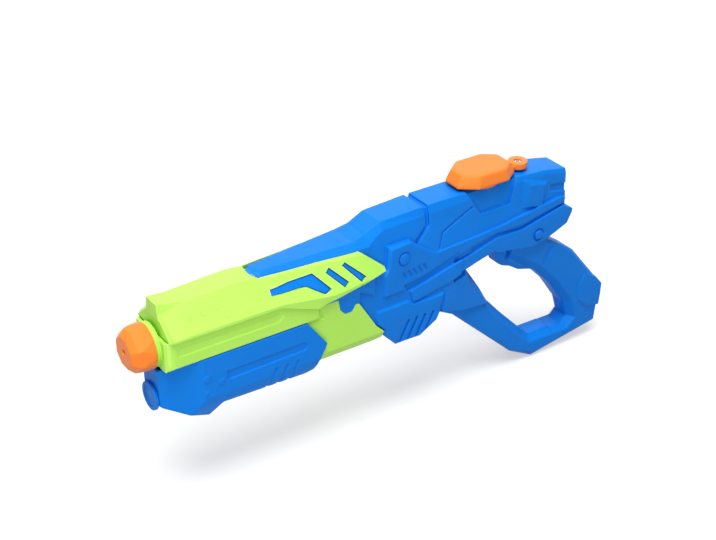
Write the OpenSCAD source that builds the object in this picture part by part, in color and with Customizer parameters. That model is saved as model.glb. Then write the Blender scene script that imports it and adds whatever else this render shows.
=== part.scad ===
// Toy pump water squirter: a blow-moulded tank with a closed handle, a two-half barrel under
// a draped hood, a sliding pump grip, and the piston pump and check valves that make it work.
// Working axes: +X runs back from the nozzle, -Y is the side in the photo, +Z is up.
// The zero of the working axes is on the barrel axis at the nozzle's base. Sizes in mm.

/* [Shell] */
// Outside width of the hood
hood_w = 50; // [46:1:56]
// Wall of the moulded shells and of the tank
wall = 2; // [1.6:0.1:2.4]
// Gap left between the tank and the hood that covers it
cover_gap = 0.3; // [0.2:0.05:0.5]
// Width of the handle
handle_w = 25; // [22:1:30]
// How far the handle reaches below the barrel's axis
handle_drop = 127; // [122:1:134]
// Bevel round the hand hole's edges
hole_bevel = 6; // [4:0.5:7]
// Bevel round the handle's outer edges
outer_bevel = 2.5; // [1.5:0.5:4]

/* [Nozzle] */
// Length of the nozzle in front of the barrel
nozzle_len = 20; // [17:1:25]
// Diameter of the nozzle's round base
nozzle_d = 34.2; // [30:0.2:37]
// Bore of the jet
jet_d = 2.4; // [1.6:0.2:3.2]

/* [Pump] */
// Travel of the pump grip
pump_stroke = 40; // [34:1:42]
// Bore of the pump cylinder
cyl_bore = 13.5; // [12:0.5:14]
// Wall of the pump cylinder
cyl_wall = 1.4; // [1.2:0.1:1.6]
// Diameter of the piston rod
rod_d = 6; // [5:0.5:7]
// Radial clearance of the rod in its gland
rod_fit = 0.06; // [0.03:0.01:0.1]
// Sliding gap between the grip and the barrel
slide_gap = 0.5; // [0.4:0.1:0.8]
// Wall of the pump grip
grip_wall = 2.2; // [1.8:0.1:2.6]

/* [Valves] */
// Diameter of the check balls
ball_d = 6; // [5:0.25:6.5]
// Bore of the ball seats
seat_d = 4.4; // [3.4:0.1:4.6]
// Travel of the inlet ball
inlet_lift = 2; // [1:0.25:2.25]
// Travel of the outlet ball against its spring
outlet_lift = 1.5; // [1:0.25:2]
// Outside diameter of the water tubes
tube_d = 6; // [5:0.25:6.5]
// Bore of the water tubes
tube_bore = 4; // [3:0.25:4.25]

/* [Filler] */
// Bore of the filler neck
fill_bore = 19; // [15:0.5:20]
// Length of the filler cap
cap_len = 54; // [50:1:57]
// Width of the filler cap
cap_w = 34.6; // [31:0.2:38]
// Height of the filler cap
cap_h = 10.5; // [8:0.5:11.5]

/* [Fasteners] */
// Diameter of the screws' shanks
screw_d = 2.6; // [2.2:0.1:3]
// Diameter of the screws' heads
screw_head_d = 4.8; // [4.4:0.2:5]

/* [Hidden] */
$fn = 48;
blue = [0.10, 0.47, 0.88];
green = [0.74, 0.97, 0.42];
orange = [1.0, 0.54, 0.2];
pale = [0.9, 0.9, 0.88];
steel = [0.7, 0.7, 0.72];
black = [0.12, 0.12, 0.13];
eps = 0.01;
// Half-width that reaches past both sides of every piece
past = 60;

// Where the parts meet along the barrel
front_x = 0.5;
hood_front = 3.5;
hood_low = 11;
barrel_top = 12;
seam_x = 122;
barrel_half = hood_w / 2 - wall;
barrel_low = -10;

// Handle outline, side view, the hole for the hand with its fixed trigger, and the hole's bevelled edge
handle_rear = 406;
handle_low = -handle_drop;
hole_low = handle_low + 20;
handle_side = [
    [238, -51], [252, -58.5], [312.6, handle_low + 12], [335, handle_low], [403, handle_low + 11],
    [handle_rear - 0.5, -91], [handle_rear, -80], [373, -39], [345, -20], [316, 0], [238, 0]
];
hand_hole = [
    [263, -20], [272, -33], [287, -58], [303, -76], [329, hole_low + 4], [333, hole_low], [354, hole_low],
    [357, hole_low - 2.5], [368, hole_low - 2.5], [374, hole_low + 3], [369.5, -89], [354, -66.5],
    [335, -47], [320, -42.5], [311, -36.5], [303, -33.5], [299, -30.5], [293, -13], [284, -9.5]
];
hand_bevel = [
    [263, -20], [286, -57], [303, -76], [333, hole_low + 0.5], [370, hole_low], [374, hole_low + 4],
    [369.5, -89], [354, -66.5], [335, -47], [284, -9.5]
];
// The bevel's cut starts this far inside the hole
bevel_lead = 0.3;

// Pump layout on its own axis below the barrel
pump_z = -39.2;
spout_z = 0.9;
nozzle_base = -2.6;
grip_front = -1.5;
grip_half = barrel_half + 0.4;
grip_inner = grip_half - grip_wall;
slide_half = grip_inner - slide_gap;
cap_spigot = 3;
nose_room = 8.6;
gland_flange = 2;
slide_front = grip_front + grip_wall + nose_room + pump_stroke + gland_flange;
cyl_r = cyl_bore / 2 + cyl_wall;
gland_t = 5;
cyl_front = slide_front + wall;
piston_len = 10;
piston_front = cyl_front + gland_t + 1.5;
cyl_rear = piston_front + piston_len + pump_stroke + 3;
socket_depth = 3;
block_front = cyl_rear - socket_depth;
block_rear = block_front + 28;
block_half = cyl_r + 2;
block_top = -13;
slide_low = -50.5;
floor_z = slide_low + wall;
riser_x = cyl_rear + tube_d / 2 - 0.5;
ball_r = ball_d / 2;
seat_r = seat_d / 2;
seat_rise = sqrt(ball_r * ball_r - seat_r * seat_r);
seat_gap = 0.05;
chamber_r = ball_r + 0.6;
inlet_seat = block_rear - 6.9;
inlet_ball_x = inlet_seat - seat_rise - seat_gap;
outlet_seat = pump_z + cyl_r + 1;
outlet_ball_z = outlet_seat + seat_rise + seat_gap;
fitting_low = block_top - 3;
spring_low = outlet_ball_z + ball_r + 0.1;
tube_start = block_top + 3.5;
bend_r = 7;
gasket_t = 1.2;

// Filler
cap_x = 281.3;
cap_rim = 2;
cap_low = 47.9;
neck_top = 46.4;
neck_r = fill_bore / 2 + wall;
cap_gasket_t = 1.2;
tether_x = cap_x + cap_len / 2 + 9.5;
tether_low = 47.4;
tether_top = 51;
hinge_gap = 0.4;

// The origin is put under the middle of the whole, on the surface it stands on
place = [-(handle_rear - nozzle_len) / 2, 0, -handle_low];

// Barrel screws: along X, along Z. The bosses of the upper two stand on the barrel's floor
screw_boss = screw_head_d + 2;
upper_screw_z = barrel_low + wall + screw_boss / 2 - 1.3;
screw_at = [[16, upper_screw_z], [60, upper_screw_z], [76, -20.5], [100, -20.5], [152, -25]];
screw_sunk = 3.5;
screw_head_t = 2;

function dot2(a, b) = a[0] * b[0] + a[1] * b[1];
function left_normal(a, b) = let(d = b - a) [-d[1], d[0]] / norm(d);
// Moves every side of a counter-clockwise outline inwards by d
function inset(p, d) = [
    for (i = [0:len(p) - 1])
        let(
            n1 = left_normal(p[(i + len(p) - 1) % len(p)], p[i]),
            n2 = left_normal(p[i], p[(i + 1) % len(p)])
        )
        p[i] + d * (n1 + n2) / (1 + dot2(n1, n2))
];
function reversed(p) = [for (i = [len(p) - 1:-1:0]) p[i]];
// Cross-sections, Y against Z: a roof over straight sides, and a tub with a cut top edge
function roof(low, edge, top) = [
    [-low[0], low[1]], [low[0], low[1]], [edge[0], edge[1]],
    [top[0], top[1]], [-top[0], top[1]], [-edge[0], edge[1]]
];
function tub(low, mid, cut, top) = [
    [-low[0], low[1]], [low[0], low[1]], [mid[0], mid[1]], [cut[0], cut[1]],
    [top[0], top[1]], [-top[0], top[1]], [-cut[0], cut[1]], [-mid[0], mid[1]]
];

// Stations of the hood, each an X and a section
hood_edge = hood_w / 2;
hood_at = [hood_front, hood_front + 2.5, 20, 66, 80, 92, seam_x + 0.5, 135, 158, 184];
hood_sections = [
    roof([hood_edge - 2, -18], [hood_edge - 2, 12], [7.7, 25.2]),
    roof([hood_edge, -18], [hood_edge, 13], [8.6, 27.6]),
    roof([hood_edge, -18], [hood_edge, 13.4], [10, 31.4]),
    roof([hood_edge, -18], [hood_edge, 13.4], [10, 33.4]),
    roof([hood_edge, -18], [hood_edge, 13.2], [10.6, 31.4]),
    roof([hood_edge, -18], [hood_edge, 13], [11.6, 31.4]),
    roof([hood_edge, -18], [hood_edge, 8], [14.2, 31.4]),
    roof([hood_edge - 2.4, -18], [hood_edge, 6], [15.2, 31.6]),
    roof([hood_edge - 2.6, -18], [hood_edge - 0.7, 8], [17.2, 31.4]),
    roof([hood_edge - 4, -18], [hood_edge - 3, 8], [15.5, 31.4])
];
// Side outline that trims the hood
hood_side = [
    [hood_front, hood_low], [90, hood_low], [121, -0.5], [180.5, 9.5], [179.5, 13.5], [159, 31],
    [159, 45], [hood_front, 45]
];
// Windows in the hood's sides, side view
windows = [
    [[85, 19], [114, 17], [129.5, 7.2], [133, 11], [120, 25.2], [85.5, 23.3]],
    [[130.7, 22.8], [144.4, 8.2], [148.1, 11.5], [133.8, 25.7]],
    [[144.5, 24.2], [158.5, 8.2], [162.8, 11.2], [147, 26]]
];
// Slot for the tongue, top view
tongue_slot = [
    [77, -5], [80.5, -10.5], [157, -17.3], [200, -17.3], [200, 17.3], [157, 17.3], [80.5, 10.5], [77, 5]
];

// Stations of the tank's main body
body_front = 158;
body_rear = 357;
body_at = [body_front, 168, 182, 222, 300, 335, body_rear];
body_sections = [
    tub([18, -9], [18.4, 4], [16.5, 31], [11, 35.8]),
    tub([18, -9], [18.4, 4], [16.5, 31], [10.5, 38.4]),
    tub([18, -9], [18.4, 4], [14.5, 39], [11, 44.8]),
    tub([17, -8], [18.4, 5], [14, 40], [12, 46.3]),
    tub([14.2, -8], [15.8, 6], [13.4, 40.5], [12, 46.3]),
    tub([13, -8], [14.6, 6], [13.2, 40.2], [12, 43.7]),
    tub([12, -6], [14, 6], [12.8, 36], [11.5, 39.5])
];
tongue_at = [77.3, 84, 158, 170];
tongue_sections = [
    roof([4.8, 22], [4.8, 30], [3.5, 31.8]),
    roof([10.6, 22], [10.6, 30], [5.5, 33.2]),
    roof([17, 20], [17, 31], [12, 35.8]),
    roof([17, 20], [17, 31], [10.6, 38.8])
];
// Tab under the tank's nose that keys into the barrel, side view
snout_tab = [[141.5, -11], [145.5, -15.5], [151.5, -15.5], [155, -10.5]];
// Side outlines of the tank's lower front: its core, the slab with the finger grooves,
// and the slab that runs into the handle, whose face is drawn back from the hand hole
seam = [[158, -1.5], [158, -11], [173.5, -36], [180.5, -43]];
fore_half = 18.5;
fore_side = concat(
    seam,
    [[181, -48], [192, -59.5], [215, -60], [230.5, -51], [233, -46], [246, -28], [246, -1.5]]
);
slab_half = 20.5;
slab_bevel = 1.6;
fore_slab = [
    [174.2, -24.4], [174.2, -36.4], [181.2, -43.4], [181.7, -48.2], [192.3, -58.9], [214.8, -59.4],
    [230, -50.6], [232, -46], [237, -28.2], [208.5, -28.2], [205.5, -26], [203, -23.8]
];
throat_base = [
    [238.5, -25], [234.5, -46], [246, -50], [264, -55], [287, -58.5], [277, -41], [263, -20], [252, -22]
];
throat_face = [
    [239, -25], [235, -46], [246, -49.6], [264, -54.4], [280, -57.5], [266, -44], [258, -24], [252, -23]
];
// The two rails along the tank's side: the long one is undercut, from its foot's line to its face's
low_rail = [
    [205, -26], [237, -24], [254, -17], [284, -9.5], [291, -12], [325, -18], [340, -14.5], [349, -11],
    [358.5, -7], [362.5, 1], [363.5, 4.5], [353, 10], [312, 1], [288, 2], [238, -11], [205, -16]
];
rail_top = [[356, 16], [350, 18], [306, 13], [290, 11], [266, 9.5], [228, 8], [200, 8], [190, 2]];
rail_foot = [[190, -15.6], [205, -15], [238, -10], [264, -3.2], [288, 3], [312, 2], [353, 11]];
rail_face = [[190, -14.6], [205, -14], [238, -4.5], [264, 2.5], [288, 7.5], [312, 8], [353, 14]];
// Raised panel at the front of the long rail, and the one on the rear block
boss_panel = [
    [179, 4], [180, -15.5], [205, -14.5], [240, -6], [240, 7.6], [228, 8], [211, 20], [204, 26],
    [184.8, 26], [183, 9]
];
panel_bevel = 2.4;
rear_panel_base = [[314, 42], [309.3, 17.8], [333.3, 14], [338.2, 34.2]];
rear_panel_top = [[320, 36], [318.4, 18.4], [332, 15.5], [334, 33]];
// Side outlines cut into the tank's skin, and how deep: the notch with its groove,
// the pocket under the cap, a crease behind the notch, and a notch in the rear edge
reliefs = [
    [[[219.5, 50], [219.5, 44], [220.5, 32], [210, 22], [212.5, 19], [224, 30.5], [224, 50]], 1.8],
    [[[257, 50], [272, 25.5], [300.5, 25.5], [308, 50]], 2],
    [[[264.4, 34.4], [235, 22], [231.4, 9], [233, 9], [236.5, 20.6], [265, 33]], 1],
    [[[341, 30], [341, 24.5], [360, 20], [360, 27]], 1.2]
];
// The trigger is narrower than the handle
trigger_half = 9;
trigger_side = [[289, -13], [294.5, -31.5], [307, -38], [306, -16.2]];

module side(p, half = past) {
    rotate([90, 0, 0]) linear_extrude(height = 2 * half, center = true) polygon(p);
}
module plan(p, low, high) {
    translate([0, 0, low]) linear_extrude(height = high - low) polygon(p);
}
module across(p, from, to) {
    rotate([90, 0, 90]) translate([0, 0, from]) linear_extrude(height = to - from) polygon(p);
}
module along(r, from, to, z = 0) {
    translate([from, 0, z]) rotate([0, 90, 0]) cylinder(r = r, h = to - from);
}
module both_sides() {
    children();
    mirror([0, 1, 0]) children();
}
// A skin through a row of sections, all with the same number of corners
module loft(at, sections) {
    n = len(sections[0]);
    last = (len(at) - 1) * n;
    points = [for (i = [0:len(at) - 1]) for (p = sections[i]) [at[i], p[0], p[1]]];
    skin = [
        for (i = [0:len(at) - 2]) for (j = [0:n - 1])
            let(a = i * n + j, b = i * n + (j + 1) % n, c = b + n, d = a + n)
            each [[a, d, c], [a, c, b]]
    ];
    ends = [for (j = [1:n - 2]) each [[0, j, j + 1], [last, last + j + 1, last + j]]];
    polyhedron(points = points, faces = concat(skin, ends));
}
// The same with outlines in side view, standing across the body
module side_loft(at, sections) {
    mirror([1, -1, 0]) loft(at, sections);
}
// The block that stands up at the front of the hood
module sight() {
    loft(
        [hood_front - 0.5, 24],
        [roof([8.6, 22], [8.2, 27], [7, 34.4]), roof([10.5, 22], [10.2, 27], [9, 31.4])]
    );
}
module hood_form(d) {
    loft(hood_at, [for (s = hood_sections) inset(s, d)]);
}
module body_form(d) {
    loft(body_at, [for (s = body_sections) inset(s, d)]);
}
// Cuts this deep into the tank's skin, inside a side outline
module body_recess(p, depth) {
    difference() {
        side(p);
        body_form(depth);
    }
}

module tank_body() color(blue) {
    skin = wall + cover_gap;
    difference() {
        union() {
            difference() {
                tank_outside(skin);
                tank_relief();
            }
            translate([cap_x, 0, 40]) cylinder(r = neck_r, h = neck_top - 40);
            translate([tether_x, 0, 38]) cylinder(r = 5, h = tether_low - 38);
        }
        tank_inside(skin);
        translate([cap_x, 0, 30]) cylinder(r = fill_bore / 2, h = 30);
        translate([tether_x, 0, tether_low - 7]) cylinder(d = screw_d - 0.4, h = 20);
        along(dip_hole_r(), 160, 190, pump_z);
    }
}
module tank_outside(skin) {
    body_form(0);
    intersection() {
        loft(tongue_at, tongue_sections);
        plan(inset(tongue_slot, cover_gap), 18, 50);
    }
    snout(skin);
    side(fore_side, fore_half);
    bevelled(fore_slab, fore_half + 0.4, slab_half, slab_bevel);
    tapered(throat_front, throat_rear) side_loft(
        [-slab_half, -slab_half + 1, -throat_foot, throat_foot, slab_half - 1, slab_half],
        [throat_face, throat_face, throat_base, throat_base, throat_face, throat_face]
    );
    tapered(19.5, 16.5) side(low_rail);
    rail_ends = [rail_face, rail_face, rail_foot, rail_foot, rail_face, rail_face];
    tapered(20.4, 15.6) side_loft(
        [-22, -rail_face_y, -rail_foot_y, rail_foot_y, rail_face_y, 22],
        [for (low = rail_ends) concat(low, rail_top)]
    );
    tapered(22.4, 11.8) bevelled(boss_panel, 18.6, 21, panel_bevel);
    handle_form(0);
    heel_pads();
    bosses();
    side_loft(
        [-15.8, -13.8, 13.8, 15.8], [rear_panel_top, rear_panel_base, rear_panel_base, rear_panel_top]
    );
}
// Half-widths between which the long rail is undercut, and where the slab at the handle starts to draw back
rail_foot_y = 15.2;
rail_face_y = 17.8;
throat_foot = 8.5;
throat_front = 29.6;
throat_rear = 2.9;
// A slab across the body: full outline up to half, then drawn in to a bevelled face
module bevelled(p, half, face, bevel) {
    side_loft([-face, -half, half, face], [inset(p, bevel), p, p, inset(p, bevel)]);
}
// Everything cut into the outside of the tank: the hole for the hand, grooves and the pocket under the cap
module tank_relief() {
    side(hand_hole);
    both_sides() {
        finger_grooves();
        vents();
        boss_ring();
        translate([0, trigger_half + 10, 0]) side(trigger_side, 10);
        translate([343.1, handle_w / 2, -33.1]) rotate([0, 29, 0]) cube([1.6, 1.8, 16], center = true);
    }
    for (r = reliefs) body_recess(r[0], r[1]);
}
// The closed handle with bevelled edges, its skin drawn in by d
module handle_form(d) {
    half = handle_w / 2;
    slant = (sqrt(2) - 1) * d;
    outer_y = half - outer_bevel - slant;
    outer_in = outer_bevel + slant;
    hole_y = half - hole_bevel - slant;
    hole_out = d + half + 1 - hole_y;
    face = inset(handle_side, outer_in);
    edge = inset(handle_side, d);
    difference() {
        side_loft([d - half, -outer_y, outer_y, half - d], [face, edge, edge, face]);
        side(inset(hand_hole, -d));
        both_sides() side_loft(
            [hole_y - bevel_lead, half + 1],
            [inset(hand_bevel, bevel_lead - d), inset(hand_bevel, -hole_out)]
        );
    }
}
function dip_hole_r() = tube_d / 2 + 2;
// The tank's nose under the hood, with pads that show through the windows and a tab on each side
module snout(skin) {
    difference() {
        intersection() {
            hood_form(skin);
            side([
                [80, 5.6], [seam_x, 5.6], [seam_x, -1.5], [body_front, -1.5], [172, -9], [172, 40], [80, 40]
            ]);
        }
        both_sides() translate([0, barrel_half - wall - cover_gap + 10, 0])
            side([[70, -20], [seam_x, -20], [seam_x, 1.8], [89, 13.8], [70, 13.8]], 10);
    }
    for (w = windows) intersection() {
        side(inset(w, cover_gap));
        hood_form(0.9);
    }
    both_sides() translate([0, slide_half - 1.2, 0])
        side(concat([[140, 0]], snout_tab, [[158.5, -10], [158.5, 0]]), 1.2);
}
// Keeps what is inside half-widths that run from front to rear along the tank
taper_front = 150;
taper_rear = 380;
module tapered(front, rear) {
    intersection() {
        children();
        plan([
            [taper_front, -front], [taper_rear, -rear], [taper_rear, rear], [taper_front, front]
        ], -past, past);
    }
}
module heel_pads() {
    side([
        [381, -88], [380.8, -76], [386, -65.5], [handle_rear - 8, -70.5], [handle_rear, -80],
        [handle_rear - 0.5, -91], [handle_rear - 1.5, -100], [392, -98]
    ], handle_w / 2 + 0.8);
}
boss_at = [198, 13];
boss_r = 4.4;
boss_half = 21;
module bosses() {
    translate([boss_at[0], 0, boss_at[1]]) rotate([90, 0, 0])
        cylinder(r = boss_r, h = 2 * boss_half, center = true);
    translate([329, 0, -8.5]) rotate([90, 0, 0]) cylinder(r = 3.4, h = 36, center = true);
}
// Sunk ring round the front boss
module boss_ring() {
    translate([boss_at[0], boss_half, boss_at[1]]) rotate([90, 0, 0]) difference() {
        cylinder(r = boss_r + 1, h = 1.6);
        translate([0, 0, -1]) cylinder(r = boss_r, h = 4);
    }
}
// Slanted finger grooves down the front slab, and slanted vents in the raised panel
module finger_grooves() {
    for (i = [0:3])
        translate([199 + 7.6 * i, slab_half, -49]) rotate([0, 27, 0]) cube([2.2, 3.2, 19], center = true);
}
module vents() {
    for (i = [0:3])
        translate([200.5 + 5 * i, 21, 0]) rotate([0, -32, 0]) cube([1.4, 3, 8], center = true);
}
module tank_inside(skin) {
    difference() {
        intersection() {
            body_form(wall);
            side([
                [body_front + wall, -20], [body_rear - wall, -20],
                [body_rear - wall, past], [body_front + wall, past]
            ]);
        }
        for (r = reliefs) body_recess(inset(r[0], -wall), r[1] + wall);
    }
    intersection() {
        hood_form(skin + wall);
        side([[82, 7.6], [seam_x + 2, 7.6], [seam_x + 2, 1], [170, 1], [170, 28], [82, 28]], 18);
    }
    side(inset(fore_side, wall + 0.5), fore_half - wall);
    side(inset(fore_slab, wall + 2), slab_half - wall - 1.2);
    tapered(throat_front - wall - 1, throat_rear - wall - 1) side(inset(throat_face, wall + 1), slab_half);
    difference() {
        handle_form(wall);
        side(inset(trigger_side, -wall));
    }
}

module hood() color(green) {
    difference() {
        union() {
            intersection() {
                hood_form(0);
                side(hood_side);
            }
            sight();
        }
        intersection() {
            hood_form(wall);
            side([[hood_front + wall, -20], [190, -20], [190, 40], [hood_front + wall, 40]]);
        }
        plan(tongue_slot, 20, 60);
        for (w = windows) side(w);
    }
}

// The barrel's outline above the pump, and the slide that the grip runs on
barrel_side = [
    [front_x, -12.5], [7, barrel_low], [seam_x, barrel_low], [seam_x, 1], [88.5, barrel_top],
    [hood_front + wall, barrel_top], [hood_front + wall, hood_low], [front_x, hood_low]
];
slide_side = concat(
    [[slide_front, barrel_low], [slide_front, -46], [slide_front + 9, slide_low]],
    [[172, slide_low], [180, -49.5], [180.5, -43], [173.5, -36], [body_front, -11]],
    reversed(snout_tab),
    [[140, -1.5], [seam_x - 4, -1.5], [seam_x - 4, barrel_low]]
);
slide_section = [
    [slide_half, 20], [-slide_half, 20], [-slide_half, -43], [4.2 - slide_half, slide_low],
    [slide_half - 4.2, slide_low], [slide_half, -43]
];
barrel_panel = [
    [9.5, 4], [9.5, 0], [12.5, -1.3], [88, -1.3], [92.5, 1.5], [92.5, 3.5], [90, 5.5], [12, 5.5]
];
panel_depth = 0.5;
module barrel_both() {
    difference() {
        union() {
            difference() {
                intersection() {
                    side(barrel_side);
                    plan([
                        [front_x, -20], [7, -barrel_half], [200, -barrel_half], [200, barrel_half],
                        [7, barrel_half], [front_x, 20]
                    ], -60, 40);
                }
                side([
                    [front_x + 2.5, barrel_low + wall], [200, barrel_low + wall],
                    [200, past], [front_x + 2.5, past]
                ], barrel_half - wall);
            }
            difference() {
                intersection() {
                    side(slide_side);
                    across(slide_section, 0, 200);
                    slide_nose(0);
                }
                intersection() {
                    side([
                        [slide_front + wall, floor_z], [220, floor_z], [220, -5], [slide_front + wall, -5]
                    ]);
                    across(inset(slide_section, wall), 0, 230);
                    slide_nose(wall);
                }
            }
            for (s = screw_at) translate([s[0], 0, s[1]]) rotate([90, 0, 0])
                cylinder(d = screw_boss, h = 2 * screw_half(s) - wall, center = true);
            nozzle_flange();
        }
        // room for the nozzle's spigot, the pump cylinder, the riser and the pump's guide lips
        along(nozzle_spigot_r(), -5, 10, spout_z);
        along(cyl_r, 0, cyl_front + 1, pump_z);
        translate([riser_x, 0, barrel_low - 5]) cylinder(r = 8, h = 20);
        both_sides() translate([0, slide_half + 5 - 0.9, 0]) side([
            [slide_front, -13.6], [lip_rear, -13.6], [lip_rear, barrel_low], [slide_front, barrel_low]
        ], 5);
        both_sides() translate([0, barrel_half + 5 - panel_depth, 0]) side(barrel_panel, 5);
        screw_room();
    }
}
// The round flange that the nozzle sits on, cut off level with the barrel's front
module nozzle_flange() {
    intersection() {
        along(nozzle_d / 2 - 0.7, nozzle_base, front_x + 1, spout_z);
        side([[nozzle_base - 1, -12.5], [5, -12.5], [5, past], [nozzle_base - 1, past]]);
    }
}
// The slide's front is drawn in to fit the grip's nose at full travel
module slide_nose(d) {
    translate([pump_stroke, 0, 0]) plan(inset(grip_nose, grip_wall + slide_gap + d), -80, 20);
}
function nozzle_spigot_r() = 8;
function screw_half(s) = s[1] > barrel_low ? barrel_half : slide_half;
module screw_room() {
    for (s = screw_at) translate([s[0], screw_half(s), s[1]]) rotate([90, 0, 0]) {
        translate([0, 0, -1]) cylinder(d = screw_head_d + 0.4, h = screw_sunk + 1);
        cylinder(d = screw_d, h = screw_half(s) + 9);
    }
}
// All that is on one side of the middle, from this half-width
module half_space(from) {
    translate([-past, from, -2 * past]) cube([6 * past, past, 4 * past]);
}
module barrel_left() color(green) intersection() {
    barrel_both();
    half_space(-past);
}
module barrel_right() color(green) intersection() {
    barrel_both();
    half_space(0);
}
module barrel_screws() color(steel) {
    for (s = screw_at) translate([s[0], screw_half(s) - screw_sunk, s[1]]) rotate([90, 0, 0]) difference() {
        union() {
            cylinder(d = screw_d, h = screw_half(s) - screw_sunk + 8);
            translate([0, 0, -screw_head_t]) cylinder(d = screw_head_d, h = screw_head_t);
        }
        translate([0, 0, -screw_head_t]) crossed_drive();
    }
}
module crossed_drive() {
    for (a = [0, 90]) rotate(a) cube([screw_head_d * 0.6, 0.8, 2], center = true);
}

// Eight-sided section, this wide from corner to corner, with flats on top and at the sides
function eight(d) = [for (i = [0:7]) d / 2 * [cos(45 * i + 22.5), sin(45 * i + 22.5)]];
// The nozzle: a round base that eight facets cut down towards a blunt front
module nozzle() color(orange) {
    shoulder = 4.5 - nozzle_len;
    difference() {
        union() {
            intersection() {
                translate([0, 0, spout_z]) loft(
                    [-nozzle_len, shoulder, nozzle_base + 1],
                    [eight(nozzle_d - 10), eight(nozzle_d - 1.4), eight(nozzle_d * 1.13)]
                );
                translate([-nozzle_len - 1, 0, spout_z]) rotate([0, 90, 0])
                    cylinder(d1 = nozzle_d - 0.6, d2 = nozzle_d, h = nozzle_len + 1 + nozzle_base);
            }
            along(nozzle_spigot_r(), nozzle_base - 1, front_x + 6, spout_z);
        }
        along(tube_d / 2 + 2, -6, 20, spout_z);
        along(jet_r(), jet_front, -4, spout_z);
        along(mouth_r, -nozzle_len - 1, -6, spout_z);
    }
}
jet_front = 3 - nozzle_len;
mouth_r = 2.2;
function jet_r() = 4;
module nozzle_jet() color(pale) {
    difference() {
        union() {
            along(jet_r(), jet_front, -6, spout_z);
            along(tube_d / 2 + 2, -6, -4, spout_z);
        }
        along(jet_d / 2, -nozzle_len, 0, spout_z);
        along(tube_bore / 2, -nozzle_len + 8, 0, spout_z);
    }
}
module nozzle_gasket() color(black) {
    difference() {
        along(tube_d / 2 + 2, -4, -4 + gasket_t, spout_z);
        along(tube_bore / 2, -6, 0, spout_z);
    }
}
// Water tube from the outlet fitting up, round a bend and forward to the nozzle
module delivery_tube() color(pale) {
    difference() {
        tube_run(tube_d / 2, 0);
        tube_run(tube_bore / 2, 1);
    }
}
module tube_run(r, over) {
    front = -4 + gasket_t;
    turn_z = spout_z - bend_r;
    along(r, front - over, riser_x - bend_r + eps, spout_z);
    bend(riser_x, spout_z, r);
    translate([riser_x, 0, tube_start - over]) cylinder(r = r, h = turn_z - tube_start + over + eps);
}
// Quarter bend from a tube along X at height z to one straight down at x
module bend(x, z, r) {
    translate([x - bend_r, 0, z - bend_r]) rotate([90, 0, 0]) rotate_extrude(angle = 90)
        translate([bend_r, 0]) circle(r);
}
module outlet_fitting() color(pale) {
    difference() {
        union() {
            translate([riser_x, 0, fitting_low]) cylinder(r = chamber_r - 0.1, h = 4);
            translate([riser_x, 0, block_top]) cylinder(r = tube_d / 2 + 2.5, h = 2);
            translate([riser_x, 0, block_top]) cylinder(r = tube_d / 2 + 1.5, h = 5.5);
        }
        translate([riser_x, 0, fitting_low - 1]) cylinder(r = tube_bore / 2, h = 20);
        translate([riser_x, 0, tube_start]) cylinder(r = tube_d / 2, h = 20);
    }
}
module valve_block() color(pale) {
    difference() {
        translate([block_front, -block_half, floor_z])
            cube([block_rear - block_front, 2 * block_half, block_top - floor_z]);
        along(cyl_r, block_front - 1, cyl_rear, pump_z);
        along(2.5, cyl_rear - 1, inlet_seat - 6, pump_z);
        along(chamber_r, inlet_ball_x - inlet_lift - ball_r + 0.6, inlet_seat, pump_z);
        along(seat_r, inlet_seat - 1, block_rear, pump_z);
        along(tube_d / 2, block_rear - 4.5, block_rear + 1, pump_z);
        translate([riser_x, 0, pump_z]) cylinder(r = seat_r, h = 20);
        translate([riser_x, 0, outlet_seat]) cylinder(r = chamber_r, h = 40);
    }
}
module inlet_ball() color(steel) translate([inlet_ball_x, 0, pump_z]) sphere(r = ball_r);
module outlet_ball() color(steel) translate([riser_x, 0, outlet_ball_z]) sphere(r = ball_r);
// A round wire wound up from the ball to the fitting
module outlet_spring() color(steel) {
    turns = 5;
    steps = 12;
    wire = 0.35;
    coil = ball_r - 0.7;
    sides = 6;
    low = spring_low + wire;
    rise = (fitting_low - 0.1 - wire - low) / (turns * steps);
    n = turns * steps;
    points = [
        for (i = [0:n]) for (k = [0:sides - 1])
            let(a = 360 * i / steps, b = 360 * k / sides, r = coil + wire * cos(b))
            [riser_x + r * cos(a), r * sin(a), low + rise * i + wire * sin(b)]
    ];
    skin = [
        for (i = [0:n - 1]) for (k = [0:sides - 1])
            let(a = i * sides + k, b = i * sides + (k + 1) % sides)
            each [[a, b + sides, a + sides], [a, b, b + sides]]
    ];
    ends = [for (k = [1:sides - 2]) each [[0, k + 1, k], [n * sides, n * sides + k, n * sides + k + 1]]];
    polyhedron(points = points, faces = concat(skin, ends));
}
module dip_tube() color(pale) {
    difference() {
        dip_run(tube_d / 2, 0);
        dip_run(tube_bore / 2, 1);
    }
}
dip_x = 204;
dip_low = -53;
module dip_run(r, over) {
    along(r, block_rear - 4.5 - over, dip_x - bend_r + eps, pump_z);
    bend(dip_x, pump_z, r);
    translate([dip_x, 0, dip_low - over]) cylinder(r = r, h = pump_z - bend_r - dip_low + over + eps);
}
module intake_strainer() color(black) {
    difference() {
        translate([dip_x, 0, dip_low - 2]) cylinder(r = tube_d / 2 + 1.5, h = 6);
        translate([dip_x, 0, dip_low]) cylinder(r = tube_d / 2, h = 10);
        for (a = [0, 90]) rotate_about(dip_x, a)
            translate([dip_x - 8, -0.6, dip_low - 3]) cube([16, 1.2, 2.4]);
    }
}
module rotate_about(x, a) {
    translate([x, 0, 0]) rotate(a) translate([-x, 0, 0]) children();
}
module tank_grommet() color(black) {
    difference() {
        along(dip_hole_r(), 174, 184, pump_z);
        along(tube_d / 2, 170, 190, pump_z);
    }
}

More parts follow.
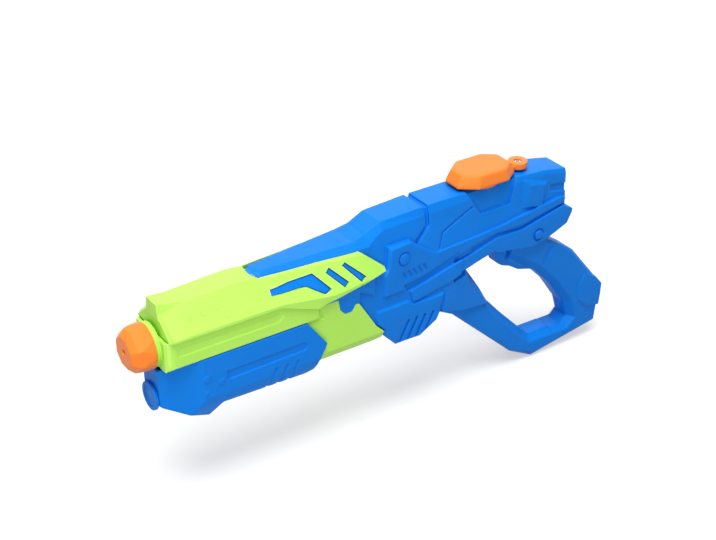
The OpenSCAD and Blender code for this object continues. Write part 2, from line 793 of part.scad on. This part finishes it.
// Outline of the pump grip in side, top and end view, and the channel inside it
grip_side = [
    [1.4, -13.4], [1.4, -15.4], [grip_front, -15.4], [grip_front, -45], [0, -46.5], [34.6, -64.2],
    [43.5, -53], [112, -55.8], [119, -54], [128.5, -33], [112, barrel_low - slide_gap],
    [7, barrel_low - slide_gap]
];
grip_nose = [
    [grip_front, -11], [28, -grip_half], [160, -grip_half], [160, grip_half], [28, grip_half],
    [grip_front, 11]
];
grip_round = [[0, -43.5], [1.4, -49.5], [4.2, -55], [9.6, -65]];
grip_section = concat(
    [for (r = grip_round) [r[0] - grip_half, r[1]]],
    [for (r = reversed(grip_round)) [grip_half - r[0], r[1]]],
    [[grip_half, 10], [-grip_half, 10]]
);
grip_floor = slide_low - 0.4;
// The first of the slits up the grip's side, how far apart they are and how deep
slit = [[76.2, -58], [78, -58], [86.8, -38.3], [85, -38.3]];
slit_pitch = 9.2;
slit_depth = 1;
// Lips that hold the grip on the slide
lip_at = [72, 86];
lip_rear = lip_at[1] + pump_stroke + 1;
module grip_body() {
    intersection() {
        side(grip_side);
        plan(grip_nose, -80, 10);
        across(grip_section, -20, 160);
    }
}
module grip_channel() {
    low = grip_front + grip_wall;
    intersection() {
        side([
            [low, 20], [low, -43.5], [33, -60], [44, grip_floor], [112, grip_floor - 2.2],
            [170, grip_floor - 2.2], [170, 20]
        ]);
        plan(inset(grip_nose, grip_wall), -80, 10);
        across(inset(grip_section, grip_wall), -20, 200);
    }
}
module pump_grip() color(blue) {
    difference() {
        grip_body();
        difference() {
            grip_channel();
            both_sides() translate([0, grip_inner, 0]) side([
                [lip_at[0], -13], [lip_at[1], -13], [lip_at[1], barrel_low], [lip_at[0], barrel_low]
            ], 1);
        }
        along(end_cap_spigot_r(), -10, 5, pump_z);
        both_sides() translate([0, grip_half + 4 - 0.9, 0])
            side([[46, -33], [110, -32], [111.5, -28.5], [110, -25.5], [46, -26]], 4);
        difference() {
            for (i = [0:2]) translate([slit_pitch * i, 0, 0]) side(slit);
            across(inset(grip_section, slit_depth), -20, 160);
        }
    }
}
function end_cap_spigot_r() = 7;
// Dished disc on the grip's nose
disc_r = 10.8;
disc_t = 2.4;
disc_z = pump_z - 1.6;
module pump_end_cap() color(blue) {
    difference() {
        union() {
            along(disc_r, grip_front - disc_t, grip_front, disc_z);
            along(end_cap_spigot_r(), grip_front - 1, grip_front + grip_wall + cap_spigot, pump_z);
        }
        along(disc_r - 2.4, grip_front - disc_t - 1, grip_front - disc_t + 0.8, disc_z);
        along(rod_d / 2, grip_front - 1, 20, pump_z);
    }
}
module piston_rod() color(pale) {
    along(rod_d / 2, grip_front - 1, piston_front + 5, pump_z);
}
module piston_head() color(pale) {
    difference() {
        along(cyl_bore / 2 - 0.3, piston_front, piston_front + piston_len, pump_z);
        along(rod_d / 2, piston_front - 1, piston_front + 5, pump_z);
        difference() {
            along(cyl_bore, piston_front + 7, piston_front + 9.4, pump_z);
            along(cyl_bore / 2 - 2.4, piston_front, piston_front + 20, pump_z);
        }
    }
}
module piston_ring() color(black) {
    translate([piston_front + 8.2, 0, pump_z]) rotate([0, 90, 0]) rotate_extrude()
        translate([cyl_bore / 2 - 1.25, 0]) circle(r = 1.15, $fn = 24);
}
module pump_cylinder() color(pale) {
    difference() {
        along(cyl_r, slide_front, cyl_rear, pump_z);
        along(cyl_bore / 2, slide_front - 1, cyl_rear + 1, pump_z);
    }
}
module cylinder_gland() color(black) {
    difference() {
        union() {
            along(cyl_bore / 2, slide_front - eps, cyl_front + gland_t, pump_z);
            along(cyl_r, slide_front - gland_flange, slide_front, pump_z);
        }
        along(rod_d / 2 + rod_fit, 0, 100, pump_z);
    }
}

function cap_outline(dx, dy) = [
    [-dx, -dy * 0.45], [-dx * 0.5, -dy], [dx * 0.55, -dy], [dx, -dy * 0.5],
    [dx, dy * 0.5], [dx * 0.55, dy], [-dx * 0.5, dy], [-dx, dy * 0.45]
];
// The filler cap: a faceted lid with a ring under it that goes round the neck
module fill_cap() color(orange) {
    low = cap_outline(cap_len / 2, cap_w / 2);
    high = cap_outline(cap_len / 2 - 4.5, cap_w / 2 - 1.4);
    ring_r = neck_r + 1;
    ring_wall = 1.5;
    ring_h = 3.2;
    translate([cap_x, 0, cap_low]) rotate(a = -120, v = [1, 1, 1])
        loft([0, cap_rim, cap_h], [low, low, high]);
    translate([cap_x, 0, cap_low - ring_h]) difference() {
        cylinder(r = ring_r + ring_wall, h = ring_h + eps);
        translate([0, 0, -1]) cylinder(r = ring_r, h = ring_h + 2);
    }
}
module cap_gasket() color(black) {
    difference() {
        translate([cap_x, 0, cap_low - cap_gasket_t]) cylinder(r = neck_r, h = cap_gasket_t);
        translate([cap_x, 0, cap_low - 5]) cylinder(r = fill_bore / 2 - 0.6, h = 10);
    }
}
// Strap end behind the cap, with the eye that its screw goes through
module cap_tether() color(orange) {
    strap_x = cap_x + cap_len / 2 + hinge_gap;
    difference() {
        union() {
            translate([tether_x, 0, tether_low]) cylinder(r = 7.6, h = 4.8);
            translate([strap_x, -5, tether_low]) cube([tether_x - strap_x, 10, tether_top - tether_low]);
        }
        translate([tether_x, 0, tether_low - 1]) cylinder(d = screw_d + 0.6, h = 10);
        translate([tether_x, 0, tether_low + 2.4]) cylinder(d = screw_head_d + 0.8, h = 10);
    }
}
module tether_screw() color(steel) {
    head_t = 1.6;
    translate([tether_x, 0, tether_low + 2.4]) difference() {
        union() {
            translate([0, 0, -8.4]) cylinder(d = screw_d - 0.4, h = 9);
            cylinder(d = screw_head_d, h = head_t);
        }
        translate([0, 0, head_t]) crossed_drive();
    }
}

translate(place) {
    tank_body();
    hood();
    barrel_left();
    barrel_right();
    barrel_screws();
    nozzle();
    nozzle_jet();
    nozzle_gasket();
    delivery_tube();
    outlet_fitting();
    valve_block();
    inlet_ball();
    outlet_ball();
    outlet_spring();
    dip_tube();
    intake_strainer();
    tank_grommet();
    pump_grip();
    pump_end_cap();
    piston_rod();
    piston_head();
    piston_ring();
    pump_cylinder();
    cylinder_gland();
    fill_cap();
    cap_gasket();
    cap_tether();
    tether_screw();
}
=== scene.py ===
"""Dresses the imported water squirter: soft moulded edges, satin plastics, and the photo's view of it."""
import math

import bmesh
import bpy
from mathutils import Matrix, Vector


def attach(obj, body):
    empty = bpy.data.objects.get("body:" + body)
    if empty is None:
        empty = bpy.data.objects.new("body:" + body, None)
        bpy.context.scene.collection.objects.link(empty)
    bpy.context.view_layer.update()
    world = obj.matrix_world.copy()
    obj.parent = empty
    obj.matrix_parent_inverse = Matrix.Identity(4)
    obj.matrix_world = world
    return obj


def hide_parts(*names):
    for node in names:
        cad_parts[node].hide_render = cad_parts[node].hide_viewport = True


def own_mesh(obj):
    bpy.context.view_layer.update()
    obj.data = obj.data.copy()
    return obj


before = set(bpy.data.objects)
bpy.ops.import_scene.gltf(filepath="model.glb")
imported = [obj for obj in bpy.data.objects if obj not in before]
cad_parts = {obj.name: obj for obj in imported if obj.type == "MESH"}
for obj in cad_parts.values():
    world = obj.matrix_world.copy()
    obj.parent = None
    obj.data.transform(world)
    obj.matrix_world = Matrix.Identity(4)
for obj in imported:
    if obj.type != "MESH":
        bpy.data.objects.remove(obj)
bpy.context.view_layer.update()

scene = bpy.context.scene
MM = 0.001
# The barrel axis at the nozzle's base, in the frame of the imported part
BARREL_ZERO = Vector((-193.0, 0.0, 127.0)) * MM
# Half-width outside every side, where a cut into the sides ends
CLEAR_OF_SIDES = 26
# Place along the barrel and height of the boss at the rear end of the low rail
REAR_BOSS = (329, -8.5)
WHITE = (1.0, 1.0, 1.0, 1.0)


def place(x, y, z):
    """A point given in mm from the barrel's zero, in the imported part's frame."""
    return BARREL_ZERO + Vector((x, y, z)) * MM


def linear(red, green, blue):
    """A colour as a screen shows it, 0 to 255, turned into the light it stands for."""
    shares = [v / 255 for v in (red, green, blue)]
    return [s / 12.92 if s <= 0.04045 else ((s + 0.055) / 1.055) ** 2.4 for s in shares] + [1.0]


# Materials
COLOUR, VALUE = "NodeSocketColor", "NodeSocketFloat"
# A Mix node's colour sockets share their names with its other sockets, so they go by number
MIX_FIRST, MIX_SECOND, MIX_RESULT = 6, 7, 2


def wire(tree, source, socket, target, entry):
    """Links one node's socket to an entry of another."""
    tree.links.new(source.outputs[socket], target.inputs[entry])


def add_node(tree, kind, **values):
    """A node with its settings and the values of its free sockets, such as from_min for From Min."""
    made = tree.nodes.new(kind)
    for key, value in values.items():
        if hasattr(made, key):
            setattr(made, key, value)
        else:
            made.inputs[key.replace("_", " ").title()].default_value = value
    return made


def ranged(tree, source, socket, **limits):
    """A value carried over from one range to another."""
    made = add_node(tree, "ShaderNodeMapRange", **limits)
    wire(tree, source, socket, made, "Value")
    return made


def worked(tree, operation, first, second, **settings):
    """One value worked out from two, each given as a node and its socket."""
    made = add_node(tree, "ShaderNodeMath", operation=operation, **settings)
    wire(tree, *first, made, 0)
    wire(tree, *second, made, 1)
    return made


def mixed(tree, factor, first, second, way="MIX"):
    """A colour mixed from two, each given as a node and its socket."""
    made = add_node(tree, "ShaderNodeMix", data_type="RGBA", blend_type=way)
    wire(tree, factor, 0, made, "Factor")
    wire(tree, *first, made, MIX_FIRST)
    wire(tree, *second, made, MIX_SECOND)
    return made


def moulded_skin():
    """A moulded skin: cloudy colour, an etched grain and fine rubs, with painted shade in the creases and a
    painted highlight along proud edges.
    """
    group = bpy.data.node_groups.new("moulded_skin", "ShaderNodeTree")
    face = group.interface
    for name, kind in (("Colour", COLOUR), ("Worn And Highlight Colour", COLOUR), ("Cloud", VALUE), ("Grain Scale", VALUE),
                       ("Gloss", VALUE), ("Crease Shade", VALUE), ("Edge Highlight", VALUE)):
        face.new_socket(name=name, in_out="INPUT", socket_type=kind)
    for name, kind in (("Colour", COLOUR), ("Roughness", VALUE), ("Height", VALUE)):
        face.new_socket(name=name, in_out="OUTPUT", socket_type=kind)
    start = group.nodes.new("NodeGroupInput")
    end = group.nodes.new("NodeGroupOutput")
    spot = group.nodes.new("ShaderNodeTexCoord")
    cloud = add_node(group, "ShaderNodeTexNoise", scale=22.0, detail=3.0, roughness=0.55)
    grain = add_node(group, "ShaderNodeTexNoise", detail=2.0, roughness=0.6)
    stretch = group.nodes.new("ShaderNodeMapping")
    stretch.inputs["Scale"].default_value = (0.35, 1.0, 1.0)
    stretch.inputs["Rotation"].default_value = (0.0, 0.4, 0.2)
    rubs = add_node(group, "ShaderNodeTexNoise", scale=420.0, detail=4.0, roughness=0.7)
    for texture in (cloud, grain, stretch):
        wire(group, spot, "Object", texture, "Vector")
    wire(group, start, "Grain Scale", grain, "Scale")
    wire(group, stretch, "Vector", rubs, "Vector")
    # colour: the deep tone drifts towards the worn one in soft clouds and along the rubs
    drift = ranged(group, cloud, "Fac", from_min=0.35, from_max=0.7)
    amount = worked(group, "MULTIPLY", (drift, "Result"), (start, "Cloud"))
    rubbed = ranged(group, rubs, "Fac", from_min=0.66, from_max=0.8, to_max=0.3)
    both = worked(group, "ADD", (amount, 0), (rubbed, "Result"), use_clamp=True)
    tone = mixed(group, both, (start, "Colour"), (start, "Worn And Highlight Colour"))
    # creases: painted shade, darker in the corners that open air hardly reaches
    open_air = add_node(group, "ShaderNodeAmbientOcclusion", samples=8, distance=0.0035)
    closed = ranged(group, open_air, "AO", to_min=1.0, to_max=0.0)
    painted_crease_shade = worked(group, "MULTIPLY", (closed, "Result"), (start, "Crease Shade"), use_clamp=True)
    deep = mixed(group, painted_crease_shade, (tone, MIX_RESULT), (start, "Colour"), "MULTIPLY")
    # edges: a painted highlight, a paler line along each proud edge, screened towards the worn colour
    behind_skin = add_node(group, "ShaderNodeAmbientOcclusion", samples=8, inside=True, distance=0.0011)
    proud = ranged(group, behind_skin, "AO", from_min=0.9, from_max=0.5)
    painted_edge_highlight = worked(group, "MULTIPLY", (proud, "Result"), (start, "Edge Highlight"), use_clamp=True)
    pale = mixed(group, painted_edge_highlight, (deep, MIX_RESULT), (start, "Worn And Highlight Colour"), "SCREEN")
    wire(group, pale, MIX_RESULT, end, "Colour")
    # gloss: the grain scatters the shine, and a rub dulls it
    uneven = ranged(group, grain, "Fac", to_min=-0.05, to_max=0.07)
    dull = worked(group, "ADD", (start, "Gloss"), (uneven, "Result"))
    duller = add_node(group, "ShaderNodeMath", operation="MULTIPLY_ADD")
    wire(group, rubbed, "Result", duller, 0)
    duller.inputs[1].default_value = 0.35
    wire(group, dull, 0, duller, 2)
    wire(group, duller, 0, end, "Roughness")
    wire(group, grain, "Fac", end, "Height")
    return group


SKIN = moulded_skin()


def moulded(name, colour, worn, gloss, shine=0.25, grain=1500.0, depth=0.06, clear=0.0, metal=0.0):
    """A material with a moulded skin: satin plastic unless it is clear or metal."""
    made = bpy.data.materials.new(name)
    made.use_nodes = True
    tree = made.node_tree
    shader = tree.nodes["Principled BSDF"]
    shader.inputs["Specular IOR Level"].default_value = shine
    shader.inputs["Transmission Weight"].default_value = clear
    shader.inputs["Metallic"].default_value = metal
    skin = tree.nodes.new("ShaderNodeGroup")
    skin.node_tree = SKIN
    skin.inputs["Colour"].default_value = linear(*colour)
    skin.inputs["Worn And Highlight Colour"].default_value = linear(*worn)
    skin.inputs["Cloud"].default_value = 0.25
    skin.inputs["Grain Scale"].default_value = grain
    skin.inputs["Gloss"].default_value = gloss
    # painted shade: how strongly creases and corners are darkened
    skin.inputs["Crease Shade"].default_value = 1.2
    # painted highlight: how strongly proud edges are paled towards the worn colour
    skin.inputs["Edge Highlight"].default_value = 0.35
    bump = add_node(tree, "ShaderNodeBump", strength=depth, distance=0.0004)
    wire(tree, skin, "Colour", shader, "Base Color")
    wire(tree, skin, "Roughness", shader, "Roughness")
    wire(tree, skin, "Height", bump, "Height")
    wire(tree, bump, "Normal", shader, "Normal")
    return made


LOOKS = {
    "blue_plastic": dict(colour=(8, 118, 216), worn=(20, 128, 224), gloss=0.46, shine=0.1),
    "green_plastic": dict(colour=(174, 230, 92), worn=(184, 236, 108), gloss=0.42, shine=0.12),
    "orange_plastic": dict(colour=(240, 128, 46), worn=(246, 142, 66), gloss=0.38, shine=0.15),
    "white_plastic": dict(colour=(226, 226, 220), worn=(236, 234, 228), gloss=0.35),
    "clear_tube": dict(colour=(214, 222, 220), worn=(226, 232, 230), gloss=0.22, shine=0.5, clear=0.6),
    "black_rubber": dict(colour=(32, 32, 34), worn=(52, 52, 54), gloss=0.62, grain=900.0, depth=0.15),
    "steel": dict(colour=(176, 178, 182), worn=(206, 207, 210), gloss=0.3, shine=0.5, grain=2600.0, metal=1.0),
}
FINISH = {slot: moulded(slot, **look) for slot, look in LOOKS.items()}


# Pieces: copies of the solids, for new forms to start from
def finished(source, steps):
    """Runs the modifiers that the steps add to the object, and leaves their result as its mesh."""
    for kind, settings in steps:
        added = source.modifiers.new(kind.lower(), kind)
        for key, value in settings.items():
            setattr(added, key, value)
    view = bpy.context.evaluated_depsgraph_get()
    made = bpy.data.meshes.new_from_object(source.evaluated_get(view))
    source.modifiers.clear()
    old = source.data
    source.data = made
    bpy.data.meshes.remove(old)


def as_object(shape, name):
    """The shape as an object of the scene."""
    mesh = bpy.data.meshes.new(name)
    shape.to_mesh(mesh)
    shape.free()
    made = bpy.data.objects.new(name, mesh)
    scene.collection.objects.link(made)
    return made


def copied(node, name, body):
    """A new piece with the skin of a CAD node: it moves with its body and stands for the node."""
    shape = bmesh.new()
    shape.from_mesh(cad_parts[node].data)
    bmesh.ops.remove_doubles(shape, verts=shape.verts, dist=1e-6)
    piece = as_object(shape, name)
    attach(piece, body)
    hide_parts(node)
    return piece


def reshaped(piece, change):
    """Lets a change work on the piece's mesh."""
    shape = bmesh.new()
    shape.from_mesh(piece.data)
    change(shape)
    shape.to_mesh(piece.data)
    shape.free()


def joined(piece, way, form):
    """Adds a form to a piece, or cuts it away, as one skin."""
    shape = bmesh.new()
    form(shape)
    tool = as_object(shape, "form")
    mesh = tool.data
    finished(piece, [("BOOLEAN", {"operation": way, "solver": "EXACT", "object": tool})])
    bpy.data.objects.remove(tool)
    bpy.data.meshes.remove(mesh)


def given(piece, slot):
    """Gives a piece its one finish and a smooth shading."""
    piece.data.materials.clear()
    piece.data.materials.append(FINISH[slot])
    piece.data.shade_smooth()


# Forms: blocks that are added to the copies or cut from them
def block(shape, outline, way):
    """Adds the block that a flat outline sweeps out along a way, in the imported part's frame."""
    corners = [shape.verts.new(corner) for corner in outline]
    grown = bmesh.ops.extrude_face_region(shape, geom=[shape.faces.new(corners)])["geom"]
    moved = [part for part in grown if isinstance(part, bmesh.types.BMVert)]
    bmesh.ops.translate(shape, verts=moved, vec=way)
    skin = {face for corner in corners + moved for face in corner.link_faces}
    bmesh.ops.recalc_face_normals(shape, faces=list(skin))


def side_block(shape, outline, near, far):
    """Adds a block to the shape on both sides: an outline of x and z in mm, from half-width near to far."""
    for side in (-1, 1):
        corners = [place(x, side * near, z) for x, z in outline]
        block(shape, corners, Vector((0.0, side * (far - near), 0.0)) * MM)


def regular(corners, size, turn=0.0, middle=(0.0, 0.0)):
    """The corners of a regular outline, such as a square or, with many corners, a disc."""
    angles = [math.radians(turn) + 2 * math.pi * corner / corners for corner in range(corners)]
    return [(middle[0] + size * math.cos(angle), middle[1] + size * math.sin(angle)) for angle in angles]


def slot_outline(x, z, lean, length, width):
    """The four corners of a slot round its middle, leaning by an angle from upright."""
    up = Vector((math.sin(math.radians(lean)), math.cos(math.radians(lean)))) * length / 2
    across = Vector((up.y, -up.x)).normalized() * width / 2
    middle = Vector((x, z))
    return [middle + up - across, middle + up + across, middle - up + across, middle - up - across]


# The hood's small raised marks: place along the barrel, place up the slope, corners, size and turn
HOOD_MARKS = [
    (22.2, 0.0, 4, 2.2, 45),
    (33.2, 0.0, 20, 2.0, 0),
    (44.2, 1.0, 4, 2.4, 45),
    (49.9, -6.5, 20, 1.7, 0),
]
# The pump's small raised marks: place along the barrel, height, corners, size and turn
PUMP_MARKS = [
    (30.1, -26.8, 6, 3.0, 0),
    (40.7, -32.5, 4, 2.8, 45),
    (29.4, -38.1, 4, 1.7, 20),
    (33.0, -42.0, 4, 1.5, 20),
]


def hood_growth(shape):
    """The lip that closes the hood's front onto the barrel, and the marks on its slopes."""
    lip_half, lip_low, lip_top, lip_front, lip_depth = 21.8, 8.6, 13.5, 3.8, 5.0
    lip = [(-lip_half, lip_low), (-lip_half, lip_top), (lip_half, lip_top), (lip_half, lip_low)]
    block(shape, [place(lip_front, y, z) for y, z in lip], Vector((lip_depth, 0.0, 0.0)) * MM)
    rise, root = 0.3, 0.6
    for side in (-1, 1):
        out = Vector((0.0, side * 0.77, 0.64))
        uphill = Vector((0.0, -side * 0.64, 0.77))
        for x, climb, corners, size, turn in HOOD_MARKS:
            middle = place(x, side * 17.1, 23.0) + (uphill * climb - out * root) * MM
            outline = [middle + (Vector((along, 0.0, 0.0)) + uphill * up) * MM
                       for along, up in regular(corners, size, turn)]
            block(shape, outline, out * (rise + root) * MM)


def pump_growth(shape):
    """The marks on the flat sides of the pump's grip."""
    root, top = 22.4, 23.95
    for x, z, corners, size, turn in PUMP_MARKS:
        side_block(shape, regular(corners, size, turn, (x, z)), root, top)


def tank_relief(shape):
    """What is cut deeper into the tank's sides."""
    rail_groove = [(198, -9.5), (210, -8.3), (224, -6.3), (237.5, -2.5), (250, 1.5),
                   (250, -5.6), (233.7, -9.7), (210, -15.2), (203, -16.8)]
    side_block(shape, rail_groove, 17.6, CLEAR_OF_SIDES)
    for vent in range(5):
        outline = slot_outline(199.2 + 4.7 * vent, 0.3 * vent - 1.6, lean=-31, length=8.0, width=1.8)
        side_block(shape, outline, 19.2 - 0.2 * vent, CLEAR_OF_SIDES)
    for groove in range(4):
        outline = slot_outline(197.2 + 7.6 * groove, -52.5, lean=27, length=25, width=2.2)
        side_block(shape, outline, 19.1, CLEAR_OF_SIDES)
    grip_seam = slot_outline(345.5, -34.5, lean=31, length=17, width=1.8)
    side_block(shape, grip_seam, 11.2, 20)
    trigger_crease = slot_outline(306, -22, lean=-12, length=13, width=2.6)
    side_block(shape, trigger_crease, 4.8, 14)
    boss_well = regular(28, 5.4, middle=REAR_BOSS)
    side_block(shape, boss_well, 16.2, 20)


def tank_growth(shape):
    """What stands out from the tank's sides."""
    groove_floor = [(243, -7.4), (262, -2.9), (262, 4.6), (243, -0.8)]
    side_block(shape, groove_floor, 14.6, 17.1)
    side_block(shape, regular(28, 3.7, middle=REAR_BOSS), 15, 18.2)
    rail_front = [(204.5, -17), (210, -15.2), (233.7, -9.7), (252, -5.2), (252, -17.6),
                  (241, -21.6), (231, -22.6), (219.7, -25.3), (207, -27)]
    side_block(shape, rail_front, 17.9, 19.9)


# Mouldings
def reach(face, edge):
    """How far a face goes from one of its edges."""
    along = (edge.verts[1].co - edge.verts[0].co).normalized()
    return max((v.co - edge.verts[0].co).cross(along).length for v in face.verts)


def edged(node, name, body, slot, width, added):
    """A thin moulding: a CAD node's solid, what is added, and a small round on each edge with room for it."""
    def has_room(edge):
        return (edge.is_manifold and edge.calc_face_angle() > math.radians(24)
                and edge.calc_length() > 8 * width * MM
                and all(reach(face, edge) > 6 * width * MM for face in edge.link_faces))

    def round_edges(shape):
        bmesh.ops.dissolve_limit(shape, angle_limit=math.radians(0.6), verts=shape.verts, edges=shape.edges)
        bmesh.ops.bevel(shape, geom=[edge for edge in shape.edges if has_room(edge)], offset=width * MM,
                        offset_type="OFFSET", affect="EDGES", segments=3, profile=0.5, material=-1,
                        clamp_overlap=False)

    piece = copied(node, name, body)
    joined(piece, "UNION", added)
    reshaped(piece, round_edges)
    given(piece, slot)
    piece.data.set_sharp_from_angle(angle=math.radians(40))
    finished(piece, [("WEIGHTED_NORMAL", {"keep_sharp": True})])


def held(share):
    """A share kept between none and all."""
    return min(max(share, 0.0), 1.0)


def on_the_handle(x, y, z):
    """How far a point, in mm from the barrel's zero, is into the closed handle: 0 outside, 1 well inside."""
    behind = (x - 258) / 14
    below = (-18 - z) / 10
    off_the_heel_pad = max((376 - x) / 6, (z + 60) / 6, (-106 - z) / 6)
    return held(min(behind, below, off_the_heel_pad))


def on_the_keel(x, y, z):
    """How far a point is into the pump grip's low edge."""
    return held((-38 - z) / 8)


def on_the_lid(x, y, z):
    """How far a point is above the ring under the filler's lid."""
    return held((z - 47.2) / 1.6)


def mark(piece, share, steps=8):
    """A vertex group that holds each point by the share that is given for its place, in a few steps."""
    group = piece.vertex_groups.new(name="rounder")
    points = [[] for step in range(steps + 1)]
    for point in piece.data.vertices:
        points[round(share(*((point.co - BARREL_ZERO) / MM)) * steps)].append(point.index)
    for step in range(1, steps + 1):
        group.add(points[step], step / steps, "REPLACE")


def softened(node, name, body, slot, voxel, passes, most, rounder=None, more=0, cut=None, added=None):
    """A thick moulding: a CAD node's solid with an even skin, edges rounded by smoothing, and a lean mesh.

    Where rounder gives a share, more passes round the edges further. A cut is taken off first, and what is
    added grows into the same skin."""
    piece = copied(node, name, body)
    if cut:
        joined(piece, "DIFFERENCE", cut)
    if added:
        reshaped(piece, added)
    finished(piece, [
        ("REMESH", {"mode": "VOXEL", "voxel_size": voxel * MM, "use_smooth_shade": True}),
        ("SMOOTH", {"factor": 0.5, "iterations": passes}),
    ])
    if rounder:
        mark(piece, rounder)
        finished(piece, [("SMOOTH", {"factor": 0.5, "iterations": more, "vertex_group": "rounder"})])
        piece.vertex_groups.clear()
    triangles = 2 * len(piece.data.polygons)
    if triangles > most:
        finished(piece, [("DECIMATE", {"ratio": most / triangles})])
    given(piece, slot)


def sprung_coil(node, name, body, slot):
    """A coil copied from its CAD node, moving with its body, with its finish and a mesh of its own."""
    coil = copied(node, name, body)
    given(coil, slot)
    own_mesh(coil)


softened("tank_body", "tank_moulding", "body", "blue_plastic", voxel=0.45, passes=2, most=190000,
         rounder=on_the_handle, more=14, cut=tank_relief, added=tank_growth)
edged("hood", "hood_moulding", "body", "green_plastic", width=0.4, added=hood_growth)
for half in ("barrel_left", "barrel_right"):
    softened(half, half + "_moulding", "body", "green_plastic", voxel=0.35, passes=3, most=90000)
softened("pump_grip", "pump_grip_moulding", "pump", "blue_plastic", voxel=0.35, passes=5, most=110000,
         rounder=on_the_keel, more=60, added=pump_growth)
softened("pump_end_cap", "pump_end_disc", "pump", "blue_plastic", voxel=0.3, passes=4, most=30000)
softened("nozzle", "nozzle_moulding", "body", "orange_plastic", voxel=0.4, passes=14, most=40000)
softened("fill_cap", "filler_lid", "cap", "orange_plastic", voxel=0.4, passes=8, most=40000,
         rounder=on_the_lid, more=80)
softened("cap_tether", "filler_strap_eye", "body", "orange_plastic", voxel=0.3, passes=6, most=20000)
sprung_coil("outlet_spring", "outlet_coil", "body", "steel")

# The pieces whose solids already have the right form get their finish
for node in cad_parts.values():
    for slot in node.material_slots:
        known = slot.material.name.split(".")[0] if slot.material else ""
        slot.material = FINISH.get(known, FINISH["white_plastic"])


# Stage, light and camera
def white_where_seen(tree, strength):
    """A light of its own for what the lens, a mirror or clear plastic looks at, and none for the rest."""
    path = tree.nodes.new("ShaderNodeLightPath")
    seen = worked(tree, "ADD", (path, "Is Camera Ray"), (path, "Is Glossy Ray"))
    seen_through = worked(tree, "ADD", (seen, 0), (path, "Is Transmission Ray"), use_clamp=True)
    level = add_node(tree, "ShaderNodeMath", operation="MULTIPLY")
    wire(tree, seen_through, 0, level, 0)
    level.inputs[1].default_value = strength
    return level


def paper_floor():
    """A sheet of white paper that runs out of the picture and keeps the shadow."""
    shape = bmesh.new()
    bmesh.ops.create_grid(shape, x_segments=1, y_segments=1, size=6.0)
    floor = as_object(shape, "floor")
    floor.location.z = -0.0004
    paper = bpy.data.materials.new("paper_floor")
    paper.use_nodes = True
    tree = paper.node_tree
    sheet = tree.nodes["Principled BSDF"]
    sheet.inputs["Base Color"].default_value = (0.42, 0.42, 0.42, 1.0)
    sheet.inputs["Roughness"].default_value = 0.9
    sheet.inputs["Specular IOR Level"].default_value = 0.0
    sheet.inputs["Emission Color"].default_value = WHITE
    wire(tree, white_where_seen(tree, 0.5), 0, sheet, "Emission Strength")
    floor.data.materials.append(paper)


def pale_room():
    """A dim white room all round, which is plain white where it is seen."""
    dim = 0.16
    world = bpy.data.worlds.new("studio")
    scene.world = world
    world.use_nodes = True
    tree = world.node_tree
    sky = tree.nodes["Background"]
    sky.inputs["Color"].default_value = WHITE
    level = add_node(tree, "ShaderNodeMath", operation="ADD")
    wire(tree, white_where_seen(tree, 1 - dim), 0, level, 0)
    level.inputs[1].default_value = dim
    wire(tree, level, 0, sky, "Strength")


def lamp(name, kind, energy, spot, aim, **settings):
    """A light at a spot, turned towards its aim."""
    light = bpy.data.lights.new(name, kind)
    light.energy = energy
    for key, value in settings.items():
        setattr(light, key, value)
    holder = bpy.data.objects.new(name, light)
    holder.location = spot
    holder.rotation_euler = (Vector(aim) - holder.location).to_track_quat("-Z", "Y").to_euler()
    scene.collection.objects.link(holder)


def studio():
    """A broad soft light from above, a weak one from behind, and a softbox beside the camera."""
    paper_floor()
    pale_room()
    middle = (0.0, 0.0, 0.1)
    lamp("overhead_light", "SUN", 3.55, (-0.4, -0.38, 2.0), middle, angle=math.radians(36))
    lamp("back_fill", "SUN", 0.9, (0.5, 1.2, 0.9), middle, angle=math.radians(60))
    lamp("front_softbox", "AREA", 2.9, (-0.42, -0.62, 0.5), (-0.1, 0.0, 0.11), shape="SQUARE", size=0.4)


def photo_camera():
    """The camera where the photo was taken from, as fitted to edges and rims of the object in it."""
    lens = bpy.data.cameras.new("photo_camera")
    lens.sensor_fit = "HORIZONTAL"
    lens.sensor_width = 36.0
    lens.lens = 75.419
    camera = bpy.data.objects.new("photo_camera", lens)
    right = Vector((0.82904, -0.55919, 0.0))
    up = Vector((0.28297, 0.41952, 0.86251))
    back = Vector((-0.48231, -0.71506, 0.50603))
    turn = Matrix((right, up, back)).transposed().to_4x4()
    camera.matrix_world = Matrix.Translation((-0.5533, -0.7871, 0.6871)) @ turn
    scene.collection.objects.link(camera)
    scene.camera = camera


studio()
photo_camera()
scene.view_settings.view_transform = "Standard"
